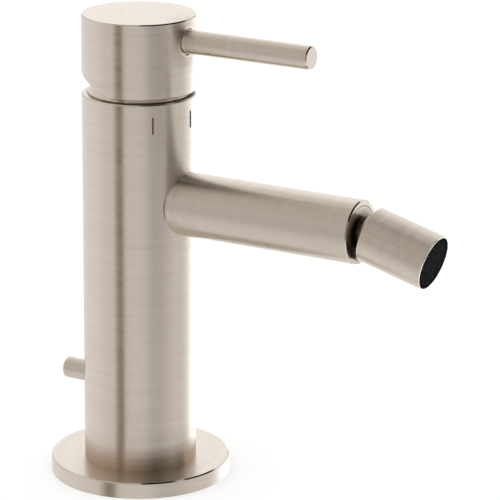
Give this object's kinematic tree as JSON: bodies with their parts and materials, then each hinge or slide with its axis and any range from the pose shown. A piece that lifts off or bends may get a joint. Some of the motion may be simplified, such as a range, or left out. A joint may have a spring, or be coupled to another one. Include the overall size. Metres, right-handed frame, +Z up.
{
  "type": "bidet mixer",
  "caption": "Slim single-lever bidet mixer: brushed column on a round flange, straight spout with a swivelling ball-jointed outlet, thin lever in a round cap, pop-up knob at the back.",
  "frame": {"origin": "centre of the column's foot on the deck plane", "axes": "+Z up along the column, -Y forward along the spout, +X to the right of a user who faces the spout"},
  "size_m": [0.056, 0.1312, 0.1464],
  "materials": {
    "brushed_nickel": "circumferentially brushed nickel",
    "polished_nickel": "fine turned",
    "brass": "machined",
    "black_plastic": "moulded",
    "rubber": "moulded",
    "white_plastic": "moulded",
    "ceramic": "lapped",
    "red_enamel": "filled",
    "blue_enamel": "filled"
  },
  "bodies": {
    "mixer_body": {"base_flange": "brushed_nickel", "base_gasket": "rubber", "body_column": "brushed_nickel", "hot_mark": "red_enamel", "cold_mark": "blue_enamel", "spout_tube": "brushed_nickel", "spout_seal": "rubber", "ball_collar": "polished_nickel", "ball_stud": "polished_nickel", "cartridge_housing": "white_plastic", "port_seals": "rubber", "fixed_disc": "ceramic", "cartridge_nut": "brass", "dome_cover": "brushed_nickel", "popup_bush": "white_plastic"},
    "temperature_rotor": {"cartridge_rotor": "white_plastic", "pivot_pin": "brass"},
    "handle": {"lever_stem": "brass", "lever_cap": "brushed_nickel", "lever_rod": "brushed_nickel", "grub_screw": "brass"},
    "flow_disc": {"moving_disc": "ceramic", "disc_carrier": "white_plastic"},
    "popup": {"popup_rod": "brass", "popup_knob": "brushed_nickel"},
    "outlet_seat": {"seat_ring": "white_plastic"},
    "outlet_ring": {"friction_ring": "white_plastic"},
    "outlet_head": {"retaining_stem": "brass", "outlet_sleeve": "brushed_nickel", "aerator_washer": "rubber", "aerator_housing": "black_plastic", "aerator_screen": "black_plastic", "aerator_grid": "black_plastic"}
  },
  "joints": [
    {"name": "temperature_turn", "type": "hinge", "parent": "mixer_body", "child": "temperature_rotor", "pos_m": [0, 0, 0.1172], "axis": [0, 0, 1], "range_deg": [-45, 5]},
    {"name": "flow_lift", "type": "hinge", "parent": "temperature_rotor", "child": "handle", "pos_m": [0, 0, 0.1172], "axis": [-1, 0, 0], "range_deg": [0, 20]},
    {"name": "disc_slide", "type": "slide", "parent": "temperature_rotor", "child": "flow_disc", "axis": [0, -1, 0], "range_m": [0, 0.00245]},
    {"name": "popup_lift", "type": "slide", "parent": "mixer_body", "child": "popup", "axis": [0, 0, 1], "range_m": [0, 0.025]},
    {"name": "outlet_turn", "type": "hinge", "parent": "mixer_body", "child": "outlet_seat", "pos_m": [0, -0.0801, 0.0889], "axis": [0, -1, 0], "continuous": true},
    {"name": "outlet_tilt", "type": "hinge", "parent": "outlet_seat", "child": "outlet_ring", "pos_m": [0, -0.0801, 0.0889], "axis": [1, 0, 0], "range_deg": [-33.2, 2.8]},
    {"name": "outlet_spin", "type": "hinge", "parent": "outlet_ring", "child": "outlet_head", "pos_m": [0, -0.0801, 0.0889], "axis": [0, -0.965, -0.2622], "continuous": true}
  ],
  "couplings": [
    {"joint": "disc_slide", "follows": "flow_lift", "m_per_rad": 0.007}
  ]
}
